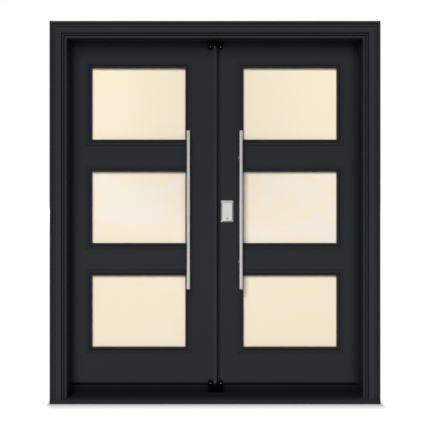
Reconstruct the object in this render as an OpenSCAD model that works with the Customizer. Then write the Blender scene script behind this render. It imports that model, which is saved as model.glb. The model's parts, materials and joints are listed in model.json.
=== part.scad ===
// Steel double entry door in its frame: two glazed leaves, brickmould, jambs, sill and lock.
// Millimetres. X runs along the wall, Y from the street into the house, Z up.
// The origin is the middle of the sill's underside, in the plane of the wall's street face.

/* [Leaves] */
// Thickness of one leaf
leaf_t = 44.5; // [40:0.5:60]
// Thickness of the steel skins
skin_t = 0.8; // [0.5:0.1:1.5]
// Width of the stile on the hinge side
hinge_stile_w = 40; // [30:1:60]
// Width of the stile on the meeting side, which takes the lock
meeting_stile_w = 110; // [105:1:120]
// Height of the rails inside the top and bottom edges
rail_h = 60; // [40:1:90]
// Gap between the meeting edges of the leaves
meeting_gap = 34; // [32:1:40]
// Gap between a leaf and its hinge jamb
hinge_gap = 3; // [2.5:0.1:4]
// Gap between a leaf and the head jamb
head_gap = 5; // [3:0.5:8]

/* [Lites] */
// Width of the glass that shows
lite_w = 554.5; // [450:0.5:700]
// Height of the glass that shows
lite_h = 425; // [360:0.5:520]
// From the meeting edge to the glass
lite_margin = 155; // [150:0.5:170]
// From the glass to the hinge edge
lite_hinge_margin = 145.5; // [120:0.5:170]
// From the bottom of a leaf to the lowest glass
lite_bottom = 209; // [180:0.5:230]
// Height of the panel between two panes of glass
lite_between = 190.5; // [170:0.5:200]
// From the highest glass to the top of a leaf
lite_top = 167; // [140:0.5:200]
// Width of the moulded lite frame around the glass
lite_frame_w = 34; // [30:0.5:40]
// How far the lite frame stands out of the skin
lite_proud = 9; // [8:0.5:12]
// Thickness of the lite frame's outer flange
lite_flange_t = 5; // [3.5:0.5:6]
// Radius of the bead around the glass
lite_bead_r = 7; // [5:0.5:8]
// Width of the quirk between bead and flange
lite_quirk_w = 4; // [2:0.5:6]
// Thickness at the bottom of the quirk
lite_quirk_t = 1.5; // [1:0.5:2.5]
// Width of the leg that presses on the glass
lite_leg_w = 9; // [7:0.5:10]
// Overlap of the glass behind the lite frame
glass_lap = 12; // [10.5:0.5:13]
// Gap around the glass inside its cut-out
glass_gap = 2; // [1:0.5:3]
// Thickness of the sealed glass unit
glass_t = 20; // [16:0.5:24]

/* [Frame] */
// Depth of the jambs
jamb_d = 133; // [120:1:180]
// Thickness of the jambs behind a leaf's edge
jamb_t = 18; // [16:0.5:25]
// How far the stop stands out in front of a leaf
stop_w = 23; // [18:0.5:28]
// Space for the weatherstrip between the stop and a leaf
seal_gap = 6; // [5:0.5:8]
// Thickness of the weatherstrip
seal_t = 5.5; // [4:0.1:5.5]
// Width of the weatherstrip
seal_w = 15; // [10:0.5:16]
// Width of the kerf that holds the weatherstrip's tongue
kerf_w = 3; // [2:0.5:4]
// Depth of that kerf
kerf_d = 9; // [6:0.5:12]

/* [Brickmould] */
// Width of the brickmould
mould_w = 96; // [90:0.5:110]
// Thickness of the brickmould at its lip
mould_t = 32; // [31:0.5:40]
// Thickness of the flat fascia
fascia_t = 26; // [24:0.5:28]
// Thickness at the bottom of the groove beside the fascia
groove_t = 13; // [10:0.5:15]
// Depth of the rabbet in the brickmould's back that takes the jambs' street edge
mould_rabbet = 2; // [1:0.5:4]
// Width of the bead along the opening
inner_bead_w = 13; // [11:0.5:15]
// Width of the bead beside the fascia
outer_bead_w = 8; // [6:0.5:10]
// Thickness of the brickmould at its beads
bead_t = 19.5; // [17:0.5:22]
// Radius on the beads' corners
bead_r = 2; // [1:0.5:2.5]
// Width of the slot between the beads
slot_w = 5.5; // [4:0.5:7]
// Thickness at the bottom of that slot
slot_t = 5; // [4:0.5:8]
// Width of the groove between the outer bead and the fascia
fascia_gap = 4.5; // [3:0.5:6]
// Width of the fascia
fascia_w = 24; // [18:0.5:30]
// Width of the sunk band between fascia and ovolo
band_w = 10; // [8:0.5:16]
// Thickness of the sunk band
band_t = 23; // [18:0.5:24]
// Radius of the ovolo beside the lip
ovolo_r = 6.5; // [5:0.5:8]
// How far the ovolo's crown lies below the lip
ovolo_drop = 2; // [1:0.5:3]
// Radius of the cove beside the lip
cove_r = 2; // [1.5:0.5:3]
// Width of the lip along the outer edge
lip_w = 14; // [9:0.5:16]
// Radius on the lip's outer corner
lip_r = 1.5; // [1:0.5:4]

/* [Sill] */
// Height of the sill's nose
nose_h = 20; // [16:0.5:30]
// Radius on the nose's upper corner
nose_r = 4; // [2:0.5:6]
// Height of the sill under the leaves
deck_h = 38; // [34:0.5:45]
// Number of drip grooves across the slope
drip_count = 4; // [2:1:5]
// Radius of the drip grooves
drip_r = 1.5; // [1:0.1:2]
// Height of the threshold cap above the sill
cap_h = 30; // [24:0.5:36]
// Space between the threshold cap's front and the face of a leaf
cap_setback = 1.5; // [1:0.5:6]
// Radius on the threshold cap's upper corners
cap_r = 4; // [2:0.5:6]
// Radius of the two ribs along the threshold cap's front
cap_rib_r = 1.5; // [1:0.1:1.8]
// Height of the lower rib above the sill's deck
cap_rib_low = 7; // [4:0.5:10]
// Height of the upper rib above the sill's deck
cap_rib_high = 19.5; // [15:0.5:22]
// Space between the threshold cap and a leaf, which the sweep fills
sweep_h = 16; // [12:0.5:20]
// Thickness of the sweep's carrier strip
sweep_carrier_t = 5; // [3:0.5:7]
// Thickness of one sweep fin
sweep_fin_t = 3; // [2:0.5:4]
// Number of sweep fins
sweep_fins = 3; // [2:1:4]

/* [Astragal] */
// How far the stem reaches from the passive leaf
stem_w = 28; // [26:0.5:28.5]
// From the inner face of a leaf to the stem's back
stem_setback = 2; // [1:0.5:4]
// Gap between the threshold cap and the stem's foot
stem_foot = 2; // [1:0.5:4]
// Width of the rib that covers the meeting gap
rib_w = 23.5; // [20:0.5:24]
// How far the rib reaches past the stem
rib_reach = 3; // [1:0.5:3]
// How far the rib stands out of the leaf's face
rib_proud = 13; // [10:0.5:16]
// Radius on the rib's front corners
rib_r = 3; // [1:0.5:5]
// Thickness of the bulb seal on the stem
bulb_t = 4; // [3:0.1:4]
// Width of the bulb seal
bulb_w = 6; // [5:0.5:7]
// From the face of a leaf to the bulb seal
bulb_inset = 2; // [1:0.5:4]
// Width of a seal block
block_w = 88; // [80:1:100]
// Height of the head's seal block
head_block_h = 39; // [34:1:45]
// Height of the sill's seal block above the sill's deck
sill_block_h = 58; // [52:1:64]
// Thickness of a seal block in front of the rib
block_t = 14; // [10:1:20]
// How far a seal block's middle lies from the rib's middle, towards the active leaf
block_shift = 3.5; // [0:0.5:6]
// Depth of the notch in the free edge of a seal block
block_notch = 20; // [14:0.5:22]
// Width of that notch
block_notch_w = 46; // [40:1:50]
// Chamfer on the free corners of a seal block
block_corner = 6; // [3:0.5:8]
// Radius of a seal block's screw heads
block_screw_r = 3.5; // [3:0.1:4.5]
// From a seal block's middle to its screws
block_screw_x = 30; // [28:0.5:33]
// From the free edge of a seal block to its screws
block_screw_inset = 8.5; // [7:0.5:12]
// Thickness of a seal block's screw heads
block_screw_head_t = 2; // [1:0.5:3]
// How far a screw enters a seal block
block_screw_hold = 10; // [6:0.5:10]

/* [Flush bolts] */
// Radius of a flush bolt
bolt_r = 5; // [4:0.1:6]
// Length of a flush bolt
bolt_len = 240; // [200:1:300]
// Travel of a flush bolt
bolt_throw = 20; // [15:1:22]
// Radius of a flush bolt's slide button
button_r = 4; // [3:0.1:5]
// From the inner end of a flush bolt to its slide button
button_inset = 36; // [20:1:50]

/* [Hinges] */
// Height of a hinge
hinge_h = 101.6; // [88:0.1:115]
// Width of a hinge leaf in its recess
hinge_leaf_w = 34; // [28:0.5:38]
// Thickness of a hinge leaf
hinge_leaf_t = 2.5; // [2:0.1:3.2]
// Radius on the corners of a hinge leaf
hinge_corner_r = 12; // [6:0.5:16]
// Radius of the knuckles
knuckle_r = 6; // [5.5:0.1:6.5]
// Number of knuckles on a hinge
knuckles = 5; // [3:2:7]
// From the inner face of a leaf to the hinge pin
pin_offset = 7; // [6.8:0.1:9]
// Radius of a hinge pin
pin_r = 3; // [2.5:0.1:3.5]
// How far the head of a hinge pin reaches past the pin
pin_head_lip = 2; // [1:0.5:3]
// Thickness of the head of a hinge pin
pin_head_t = 3; // [2:0.5:5]
// From the top of a leaf to the middle of the top hinge
hinge_from_top = 229; // [180:1:260]
// From the bottom of a leaf to the middle of the bottom hinge
hinge_from_bottom = 330; // [280:1:360]

/* [Pulls] */
// Radius of a pull bar
pull_r = 11; // [9:0.5:14]
// How far a pull bar runs past its posts
pull_overhang = 155.25; // [60:0.25:200]
// From the middle of the panel between two panes down to a post
post_drop = 11; // [0:0.5:30]
// From the meeting edge to a pull bar's axis
pull_inset = 136.5; // [125:0.5:145]
// Finger gap between a pull bar and the skin
pull_gap = 42; // [35:0.5:55]
// Radius of a pull's posts
post_r = 8; // [6:0.5:10]
// Radius of the flange at the foot of a post
post_flange_r = 13; // [11:0.5:16]
// Thickness of that flange
post_flange_t = 3; // [2:0.5:5]
// Radius of the studs that join two pulls
stud_r = 4; // [3:0.1:5]
// How far a stud enters a post
stud_hold = 18; // [12:0.5:24]

/* [Lock] */
// Width of the lock's outer case
lock_w = 74; // [64:0.5:80]
// Height of the lock's outer case
lock_h = 127.5; // [110:0.5:140]
// How far the outer case stands out of the skin
lock_t = 20; // [16:0.5:26]
// Slope along the sides and bottom of the outer case
lock_bevel = 9; // [6:0.5:10]
// Slope along the top of the outer case
lock_top_bevel = 13; // [8:0.5:16]
// Share of a case's thickness that lies under its slopes
case_shoulder = 0.55; // [0.4:0.05:0.7]
// From the meeting edge to the lock's axis
lock_backset = 58; // [55:0.5:62]
// From the bottom of a leaf to the lock's axis
lock_axis_h = 973; // [900:1:1050]
// From the lock's axis down to the case's lower edge
lock_below = 22; // [20:0.5:30]
// How far the inner case stands out of the skin
inner_case_t = 26; // [20:0.5:32]
// Radius of the lock bore through the leaf
lock_bore_r = 19; // [16:0.5:19.5]
// Radius of the key plug
plug_r = 6.5; // [5:0.1:8]
// Depth of the key plug
plug_len = 14; // [10:0.5:15]
// Width of the keyway
keyway_w = 1.4; // [1:0.1:2]
// Height of the keyway
keyway_h = 8; // [6:0.5:9]
// Depth of the keyway
keyway_d = 5; // [3:0.5:8]
// Radius of the deadbolt
deadbolt_r = 10; // [8:0.1:10.5]
// Travel of the deadbolt
deadbolt_throw = 25; // [20:0.5:26]
// Length of the deadbolt
deadbolt_len = 46; // [42:0.5:48]
// Wall of the deadbolt's tube
deadbolt_wall = 2; // [1.5:0.1:2.2]
// Width of the deadbolt's faceplate and strike
plate_w = 25; // [24:0.5:30]
// Thickness of the faceplate
faceplate_t = 3; // [2:0.5:4]
// Height of the faceplate
faceplate_h = 57; // [50:0.5:65]
// Thickness of the strike
strike_t = 2; // [1.5:0.5:3]
// Height of the strike
strike_h = 70; // [60:0.5:80]
// Radius of the thumb-turn's rose
turn_r = 16; // [13:0.5:20]
// Thickness of the rose
rose_t = 5; // [3:0.5:8]
// Thickness of the thumb-turn's grip
grip_t = 9; // [6:0.5:12]
// Length of the thumb-turn's grip
turn_grip = 42; // [34:0.5:50]
// How far the grip stands out of the rose
turn_proud = 20; // [14:0.5:26]
// Radius of the tailpiece
tail_r = 3; // [2.5:0.1:3.5]

/* [Clearances] */
// Radial clearance of a pin or bolt that runs in a bore
run_gap = 0.04; // [0.02:0.01:0.08]
// Clearance between pieces that pass each other
pass_gap = 1; // [0.6:0.1:1.5]
// Clearance between stacked knuckles
knuckle_gap = 0.3; // [0.2:0.05:0.5]
// Gap at the mitres of the weatherstrip
mitre_gap = 0.3; // [0.2:0.05:0.5]
// Clearance of a bolt in its strike
strike_gap = 0.6; // [0.4:0.1:1]
// Radius of the jambs' fixing holes
fixing_r = 3; // [2:0.1:4]
// Spacing of the two fixing holes in a jamb
fixing_spacing = 1000; // [800:1:1050]

/* [Hidden] */
$fn = 64;
// Overshoot of a cutting shape
over = 1;
// Size of a half-space
beyond = 4000;

// One leaf, around its lites
leaf_w = lite_margin + lite_w + lite_hinge_margin;
leaf_h = lite_bottom + 3 * lite_h + 2 * lite_between + lite_top;

// Across the doorway, from the middle outwards
edge_x = meeting_gap / 2;
hinge_x = edge_x + leaf_w;
rabbet_x = hinge_x + hinge_gap;
stop_x = rabbet_x - stop_w;
jamb_x = rabbet_x + jamb_t;
mould_x = stop_x + mould_w;
pin_x = hinge_x + hinge_gap / 2;

// Through the wall, from the street inwards
face_y = jamb_d - leaf_t;
mid_y = face_y + leaf_t / 2;
stop_y = face_y - seal_gap;
cap_y = face_y + cap_setback;
pin_y = jamb_d + pin_offset;

// Upwards
cap_z = deck_h + cap_h;
leaf_z = cap_z + sweep_h;
leaf_top = leaf_z + leaf_h;
rabbet_z = leaf_top + head_gap;
stop_z = rabbet_z - stop_w;
mould_z = stop_z + mould_w;
lock_z = leaf_z + lock_axis_h;

// Lites: the lower edge of each pane, and the middle of each panel between two panes
lite_pitch = lite_h + lite_between;
lite_z = [for (i = [0:2]) leaf_z + lite_bottom + i * lite_pitch];
lite_x = edge_x + lite_margin + lite_w / 2;
panel_z = [for (i = [1:2]) lite_z[i] - lite_between / 2];
glass_depth = (leaf_t - glass_t) / 2;
cutout_lap = glass_lap + glass_gap;

// Pulls
pull_x = edge_x + pull_inset;
post_z = [for (z = panel_z) z - post_drop];
pull_z = post_z[0] - pull_overhang;
pull_len = lite_pitch + 2 * pull_overhang;
pull_y = face_y - pull_gap - pull_r;

// Lock
lock_x = edge_x + lock_backset;
deadbolt_bore = deadbolt_r + run_gap;
deadbolt_tube_r = deadbolt_bore + deadbolt_wall;
deadbolt_rest = edge_x + run_gap;
tube_end = deadbolt_rest + deadbolt_len + pass_gap;

// Astragal
stem_x = stem_w - edge_x;
rib_x = stem_x + rib_reach;
rib_y = face_y - rib_proud;
stem_y = jamb_d - stem_setback;
stem_z = cap_z + stem_foot;
rib_top = stop_z - pass_gap;
bolt_x = stem_x - stem_w / 2;
button_rise = bolt_len - button_inset;
block_x = rib_x - rib_w / 2 + block_shift;
block_y = rib_y - pass_gap - block_t;

// Hinges: middle heights, knuckle length
hinge_z = [leaf_z + hinge_from_bottom, (leaf_z + hinge_from_bottom + leaf_top - hinge_from_top) / 2,
    leaf_top - hinge_from_top];
knuckle_h = hinge_h / knuckles;

// Colours
charcoal = "#2b2d31";
black = "#101112";
satin = "#b9bbbd";
cream = "#f3ead0";
timber = "#b08d5b";
foam = "#d8c98e";
zinc = "#8d9096";

// The right-hand side as drawn, or its mirror image on the left
module hand(left) {
    if (left)
        mirror([1, 0, 0]) children();
    else
        children();
}

// A block given by its low and high corners
module block(low, high) {
    translate(low) cube(high - low);
}

// A round bar along an axis: x, y or z
module bar(r, from, to, axis) {
    turn = axis == "x" ? [0, 90, 0] : axis == "y" ? [-90, 0, 0] : [0, 0, 0];
    translate(from) rotate(turn) cylinder(r = r, h = to);
}

// Runs a section, drawn as (Y, Z), along X from one place to another
module along_x(from, to) {
    translate([from, 0, 0]) rotate([90, 0, 90]) linear_extrude(to - from) children();
}

// Everything above the 45 degree lines that mitre the head to the sides
module above_mitre() {
    apex = stop_z - stop_x;
    rotate([90, 0, 0]) linear_extrude(beyond, center = true)
        polygon([[0, apex], [beyond, apex + beyond], [-beyond, apex + beyond]]);
}

// An upright of the frame: a section, drawn as (distance from the opening, Y), coped to the sill
module upright(gap = 0) {
    difference() {
        translate([stop_x, 0, 0]) linear_extrude(mould_z) children();
        translate([0, 0, -gap]) above_mitre();
        sill_body();
    }
}

// The head of the frame, with the same section as the uprights
module header() {
    intersection() {
        translate([0, 0, stop_z]) rotate([0, -90, 0]) linear_extrude(2 * mould_x, center = true) children();
        above_mitre();
    }
}

// The jamb's section: a rabbeted board with a kerf for the weatherstrip
module jamb_section() {
    difference() {
        union() {
            translate([0, -mould_rabbet]) square([stop_w + jamb_t, mould_rabbet + stop_y]);
            translate([stop_w, 0]) square([jamb_t, jamb_d]);
        }
        kerf();
    }
}

module kerf() {
    translate([stop_w - 2 * kerf_w, stop_y - kerf_d]) square([kerf_w, kerf_d]);
}

module head_jamb() {
    color(charcoal) difference() {
        header() jamb_section();
        bar(bolt_r + strike_gap, [bolt_x, mid_y, stop_z], mould_w, "z");
    }
}

module side_jamb(left) {
    color(charcoal) hand(left) difference() {
        upright() jamb_section();
        for (z = hinge_z)
            hinge_recess(z, rabbet_x);
        for (z = [-1, 1] * fixing_spacing / 2)
            bar(fixing_r, [stop_x, mid_y, (panel_z[0] + panel_z[1]) / 2 + z], stop_w + jamb_t + over, "x");
    }
}

// A flat bead with round corners, from a place across the brickmould
module flat_bead(u, w) {
    translate([u, 0]) {
        square([w, bead_t - bead_r]);
        translate([bead_r, 0]) square([w - 2 * bead_r, bead_t]);
        for (corner = [bead_r, w - bead_r])
            translate([corner, bead_t - bead_r]) circle(r = bead_r);
    }
}

// The brickmould's section, from the opening outwards: two flat beads with a slot between them, a fascia,
// a sunk band, an ovolo, a cove and a lip
module mould_section() {
    bead_u = inner_bead_w + slot_w;
    fascia_u = bead_u + outer_bead_w + fascia_gap;
    ovolo_u = fascia_u + fascia_w + band_w + ovolo_r;
    mirror([0, 1]) difference() {
        union() {
            square([mould_w, groove_t]);
            flat_bead(0, inner_bead_w);
            flat_bead(bead_u, outer_bead_w);
            translate([fascia_u, 0]) square([fascia_w, fascia_t]);
            translate([fascia_u, 0]) square([mould_w - fascia_u, band_t]);
            translate([ovolo_u, 0]) square([mould_w - ovolo_u, fascia_t]);
            translate([ovolo_u, mould_t - ovolo_r - ovolo_drop]) circle(r = ovolo_r);
            translate([mould_w - lip_w, 0]) square([lip_w, mould_t - lip_r]);
            translate([mould_w - lip_w, 0]) square([lip_w - lip_r, mould_t]);
            translate([mould_w - lip_r, mould_t - lip_r]) circle(r = lip_r);
        }
        translate([mould_w - lip_w - cove_r, fascia_t]) circle(r = cove_r);
        translate([inner_bead_w, slot_t]) square([slot_w, mould_t]);
        translate([-over, -over]) square([over + stop_w + jamb_t, over + mould_rabbet]);
    }
}

module head_brickmould() {
    color(charcoal) header() mould_section();
}

module side_brickmould(left) {
    color(charcoal) hand(left) upright() mould_section();
}

// The sill's section: a rounded nose, a slope with drip grooves and a level deck
module sill_section() {
    run = cap_y + mould_t;
    rise = deck_h - nose_h;
    difference() {
        polygon([[-mould_t, 0], [-mould_t, nose_h], [cap_y, deck_h], [jamb_d, deck_h], [jamb_d, 0]]);
        translate([-mould_t, nose_h + rise]) difference() {
            translate([-over, -nose_r - rise]) square([nose_r + over, nose_r + 2 * rise]);
            translate([nose_r, -nose_r - rise]) circle(r = nose_r);
        }
        for (i = [1:drip_count])
            translate([i * run / (drip_count + 1) - mould_t, nose_h + i * rise / (drip_count + 1)])
                circle(r = drip_r);
    }
}

module sill_body() {
    along_x(-jamb_x, jamb_x) sill_section();
    along_x(-mould_x, mould_x) intersection() {
        sill_section();
        translate([-mould_t, 0]) square([mould_t, deck_h]);
    }
}

module sill() {
    color(charcoal) sill_body();
}

module threshold_cap() {
    color(black) difference() {
        along_x(-rabbet_x, rabbet_x) cap_section();
        bar(bolt_r + strike_gap, [bolt_x, mid_y, deck_h + over], cap_h, "z");
    }
}

module cap_section() {
    translate([cap_y, deck_h]) square([jamb_d - cap_y, cap_h - cap_r]);
    translate([cap_y + cap_r, deck_h]) square([jamb_d - cap_y - 2 * cap_r, cap_h]);
    for (y = [cap_y + cap_r, jamb_d - cap_r])
        translate([y, cap_z - cap_r]) circle(r = cap_r);
    for (z = [cap_rib_low, cap_rib_high])
        translate([cap_y, deck_h + z]) circle(r = cap_rib_r);
}

// The weatherstrip's section: a tongue in the kerf and a flat bulb in front of the leaf
module strip_section() {
    tongue_u = stop_w - 2 * kerf_w;
    kerf();
    translate([tongue_u + kerf_w - seal_w, stop_y]) {
        translate([seal_t / 2, 0]) square([seal_w - seal_t / 2, seal_t]);
        translate([seal_t / 2, seal_t / 2]) circle(r = seal_t / 2);
    }
}

module weatherstrip() {
    color(black) {
        header() strip_section();
        for (left = [false, true])
            hand(left) upright(mitre_gap) strip_section();
    }
}

// A seal block's outline, from its seat up to a free edge with a notch for the astragal
module seal_outline(h) {
    side = block_w / 2;
    polygon([[-side, 0], [side, 0], [side, h - block_corner], [side - block_corner, h],
        [block_notch_w / 2, h], [0, h - block_notch], [-block_notch_w / 2, h],
        [block_corner - side, h], [-side, h - block_corner]]);
}

// A seal block in front of the meeting gap: a plate with a channel that clears the rib
module seal_block(h) {
    difference() {
        translate([block_x, face_y - pass_gap, 0]) rotate([90, 0, 0])
            linear_extrude(face_y - pass_gap - block_y) seal_outline(h);
        block([rib_x - rib_w - 2 * pass_gap, rib_y - pass_gap, -over],
            [rib_x + 2 * pass_gap, face_y, h + over]);
        seal_screws(h, run_gap);
    }
}

// The two screws of a seal block, a head on its front and a shank inside it, or the holes for them
module seal_screws(h, gap = 0) {
    head_y = block_y - block_screw_head_t;
    for (x = [-block_screw_x, block_screw_x])
        translate([block_x + x, head_y, h - block_screw_inset]) {
            bar(block_screw_r, [0, 0, 0], block_screw_head_t, "y");
            bar(block_screw_r / 2 + gap, [0, 0, 0], block_screw_head_t + block_screw_hold + gap, "y");
        }
}

// Puts a block's seat on the head stop, hanging down, or on the sill, standing up
module at_head() {
    translate([0, 0, stop_z]) mirror([0, 0, 1]) children();
}

module head_seal_block() {
    color(black) at_head() seal_block(head_block_h);
}

module sill_seal_block() {
    color(black) difference() {
        seal_block(deck_h + sill_block_h);
        sill_body();
    }
}

module seal_block_screws() {
    color(zinc) {
        at_head() seal_screws(head_block_h);
        seal_screws(deck_h + sill_block_h);
    }
}

// The outline of a hinge leaf, drawn as (Y, Z), with two round corners
module hinge_outline(z) {
    inner_y = jamb_d - hinge_leaf_w;
    corner_z = hinge_h / 2 - hinge_corner_r;
    translate([inner_y + hinge_corner_r, z - hinge_h / 2]) square([hinge_leaf_w - hinge_corner_r, hinge_h]);
    translate([inner_y, z - corner_z]) square([hinge_leaf_w, 2 * corner_z]);
    for (corner = [z - corner_z, z + corner_z])
        translate([inner_y + hinge_corner_r, corner]) circle(r = hinge_corner_r);
}

// The recess of a hinge leaf, which starts at a face of the leaf or of the jamb
module hinge_recess(z, x) {
    depth = x > pin_x ? hinge_leaf_t : -hinge_leaf_t;
    along_x(min(x, x + depth), max(x, x + depth)) hinge_outline(z);
}

// One leaf of a hinge: a plate in its recess, with every second knuckle rolled around the pin
module hinge_leaf(z, x, first) {
    depth = x > pin_x ? hinge_leaf_t : -hinge_leaf_t;
    gap = first == 0 ? 0 : knuckle_gap;
    difference() {
        union() {
            hinge_recess(z, x);
            for (k = [first:2:knuckles - 1]) {
                low = z - hinge_h / 2 + k * knuckle_h + gap;
                high = low + knuckle_h - 2 * gap;
                bar(knuckle_r, [pin_x, pin_y, low], high - low, "z");
                block([min(x, x + depth), jamb_d - over, low], [max(x, x + depth), pin_y, high]);
            }
        }
        bar(pin_r + run_gap, [pin_x, pin_y, z - hinge_h], 2 * hinge_h, "z");
    }
}

module frame_hinge_leaves() {
    color(zinc) for (left = [false, true], z = hinge_z)
        hand(left) hinge_leaf(z, rabbet_x, 0);
}

module door_hinge_leaves(left) {
    color(zinc) for (z = hinge_z)
        hand(left) hinge_leaf(z, hinge_x, 1);
}

// Hinge pins hang by their heads on the top knuckles
module hinge_pins() {
    color(zinc) for (left = [false, true], z = hinge_z)
        hand(left) {
            bar(pin_r, [pin_x, pin_y, z - hinge_h / 2], hinge_h + pin_head_t, "z");
            bar(pin_r + pin_head_lip, [pin_x, pin_y, z + hinge_h / 2], pin_head_t, "z");
        }
}

// What is cut through a leaf: the lites, the pull studs, and the lock on the active leaf
module leaf_cuts(locked) {
    for (z = lite_z)
        block([lite_x - lite_w / 2 - cutout_lap, face_y - over, z - cutout_lap],
            [lite_x + lite_w / 2 + cutout_lap, jamb_d + over, z + lite_h + cutout_lap]);
    for (z = post_z)
        bar(stud_r + run_gap, [pull_x, face_y - over, z], leaf_t + 2 * over, "y");
    for (z = hinge_z)
        hinge_recess(z, hinge_x);
    if (locked) {
        bar(lock_bore_r, [lock_x, face_y - over, lock_z], leaf_t + 2 * over, "y");
        bar(deadbolt_tube_r, [edge_x - over, mid_y, lock_z], lock_backset, "x");
        deadbolt_faceplate();
    }
}

module outer_skin(left) {
    color(charcoal) hand(left) difference() {
        block([edge_x, face_y, leaf_z], [hinge_x, face_y + skin_t, leaf_top]);
        leaf_cuts(!left);
    }
}

module inner_skin(left) {
    color(charcoal) hand(left) difference() {
        block([edge_x, jamb_d - skin_t, leaf_z], [hinge_x, jamb_d, leaf_top]);
        leaf_cuts(!left);
    }
}

module stiles(left) {
    color(timber) hand(left) difference() {
        union() {
            block([edge_x, face_y + skin_t, leaf_z], [edge_x + meeting_stile_w, jamb_d - skin_t, leaf_top]);
            block([hinge_x - hinge_stile_w, face_y + skin_t, leaf_z], [hinge_x, jamb_d - skin_t, leaf_top]);
        }
        leaf_cuts(!left);
    }
}

module rails(left) {
    color(timber) hand(left) for (z = [leaf_z, leaf_top - rail_h])
        block([edge_x + meeting_stile_w, face_y + skin_t, z],
            [hinge_x - hinge_stile_w, jamb_d - skin_t, z + rail_h]);
}

module core(left) {
    color(foam) hand(left) difference() {
        block([edge_x + meeting_stile_w, face_y + skin_t, leaf_z + rail_h],
            [hinge_x - hinge_stile_w, jamb_d - skin_t, leaf_top - rail_h]);
        leaf_cuts(!left);
    }
}

// A lite frame's flange across its whole width, drawn as (distance from its middle, height above the skin)
module flange_outline(size) {
    edge_r = lite_flange_t / 2;
    rim = size / 2 + lite_frame_w;
    translate([-rim, 0]) square([2 * rim, edge_r]);
    translate([edge_r - rim, 0]) square([2 * (rim - edge_r), lite_flange_t]);
    for (u = [edge_r - rim, rim - edge_r])
        translate([u, edge_r]) circle(r = edge_r);
}

// The two rounds of the bead around the glass, drawn in the same way
module bead_rounds(size) {
    for (u = [-1, 1] * (size / 2 + lite_bead_r))
        translate([u, lite_proud - lite_bead_r]) circle(r = lite_bead_r);
}

// The bead's outline above the skin, filled from side to side
module bead_outline(size) {
    crest = size / 2 + lite_bead_r;
    translate([-crest, 0]) square([2 * crest, lite_proud]);
    intersection() {
        bead_rounds(size);
        translate([-crest - lite_bead_r, 0]) square([2 * (crest + lite_bead_r), lite_proud]);
    }
}

// What is cut away above the inner half of the bead
module bead_hollow(size) {
    crest = size / 2 + lite_bead_r;
    difference() {
        translate([-crest, lite_proud - lite_bead_r]) square([2 * crest, lite_proud]);
        bead_rounds(size);
    }
}

// Runs one outline along Y and another along X, and keeps what they share, so that the corners are mitred
module crossed() {
    intersection() {
        rotate([90, 0, 0]) linear_extrude(beyond, center = true) children(0);
        rotate([90, 0, 90]) linear_extrude(beyond, center = true) children(1);
    }
}

// A lite frame in one piece: a flange, a quirk and a bead, with a leg that presses on the glass
module lite_ring() {
    leg = [lite_w / 2 + lite_leg_w, lite_h / 2 + lite_leg_w];
    quirk = [lite_w, lite_h] / 2 + [1, 1] * (2 * lite_bead_r + lite_quirk_w);
    rotate([90, 0, 0]) difference() {
        union() {
            difference() {
                crossed() {
                    flange_outline(lite_w);
                    flange_outline(lite_h);
                }
                block([-quirk.x, -quirk.y, lite_quirk_t], [quirk.x, quirk.y, lite_proud]);
            }
            crossed() {
                bead_outline(lite_w);
                bead_outline(lite_h);
            }
            block([-leg.x, -leg.y, -glass_depth], [leg.x, leg.y, lite_quirk_t / 2]);
        }
        cube([lite_w, lite_h, beyond], center = true);
        crossed() {
            bead_hollow(lite_w);
            bead_hollow(lite_h);
        }
    }
}

module outer_lite_frame(left, i) {
    color(charcoal) hand(left) translate([lite_x, face_y, lite_z[i] + lite_h / 2]) lite_ring();
}

module inner_lite_frames(left) {
    color(charcoal) hand(left) for (z = lite_z)
        translate([lite_x, jamb_d, z + lite_h / 2]) mirror([0, 1, 0]) lite_ring();
}

module glass(left, i) {
    color(cream) hand(left)
        block([lite_x - lite_w / 2 - glass_lap, mid_y - glass_t / 2, lite_z[i] - glass_lap],
            [lite_x + lite_w / 2 + glass_lap, mid_y + glass_t / 2, lite_z[i] + lite_h + glass_lap]);
}

// The sweep's section: a carrier under the leaf and fins that hang to the threshold cap
module sweep_section() {
    low = cap_y + sweep_fin_t;
    high = jamb_d - 2 * sweep_fin_t;
    pitch = (high - low - sweep_fin_t) / (sweep_fins - 1);
    translate([low, leaf_z - sweep_carrier_t]) square([high - low, sweep_carrier_t]);
    for (i = [0:sweep_fins - 1])
        translate([low + i * pitch, cap_z + pass_gap]) square([sweep_fin_t, sweep_h - pass_gap]);
}

module sweep(left) {
    color(black) hand(left) along_x(edge_x + pass_gap, hinge_x - pass_gap) sweep_section();
}

// A pull: a bar on two posts, with a bore in each post for its stud
module pull() {
    difference() {
        union() {
            bar(pull_r, [pull_x, pull_y, pull_z], pull_len, "z");
            for (z = post_z) {
                bar(post_r, [pull_x, pull_y, z], face_y - pull_y, "y");
                bar(post_flange_r, [pull_x, face_y - post_flange_t, z], post_flange_t, "y");
            }
        }
        for (z = post_z)
            bar(stud_r + run_gap, [pull_x, face_y - stud_hold - run_gap, z], stud_hold + run_gap + over, "y");
    }
}

module outer_pull(left) {
    color(satin) hand(left) pull();
}

module inner_pull(left) {
    color(satin) hand(left) translate([0, 2 * mid_y, 0]) mirror([0, 1, 0]) pull();
}

module pull_studs(left) {
    color(zinc) hand(left) for (z = post_z)
        bar(stud_r, [pull_x, face_y - stud_hold, z], leaf_t + 2 * stud_hold, "y");
}

// The astragal's stem between the leaves and its rib in front of the gap
module astragal() {
    color(charcoal) difference() {
        union() {
            block([-edge_x, face_y, stem_z], [stem_x, stem_y, leaf_top]);
            translate([0, 0, stem_z]) linear_extrude(rib_top - stem_z) rib_section();
        }
        flush_bolt_channel();
        flush_bolt_at_top() flush_bolt_channel();
        strike_block();
        bar(deadbolt_r + strike_gap, [edge_x - deadbolt_throw - strike_gap, mid_y, lock_z], stem_w, "x");
    }
}

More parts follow.
